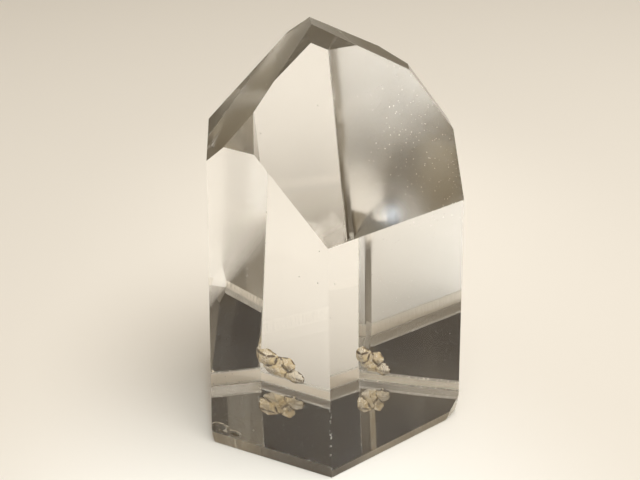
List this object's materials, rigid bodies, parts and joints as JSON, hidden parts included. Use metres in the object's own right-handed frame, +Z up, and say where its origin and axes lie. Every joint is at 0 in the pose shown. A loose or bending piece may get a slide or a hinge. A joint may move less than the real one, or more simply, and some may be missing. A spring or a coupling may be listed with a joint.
{
  "type": "quartz point",
  "caption": "Clear rock crystal point: a polished six-sided prism with an off-centre faceted tip and a flat sawn base to stand on.",
  "frame": {"origin": "middle of the crystal's footprint, on the plane it stands on", "axes": "+Z up along the prism to the tip, -Y towards the front upright edge, +X to the right when seen from the front"},
  "size_m": [0.0266, 0.0248, 0.0407],
  "materials": {
    "clear_quartz": "polished clear quartz, see-through, with a faint warm tint, a few scratches and fine dust, and a rusty stain in the break at the back of the foot"
  },
  "bodies": {
    "root": {"quartz_point": "clear_quartz"}
  },
  "joints": []
}
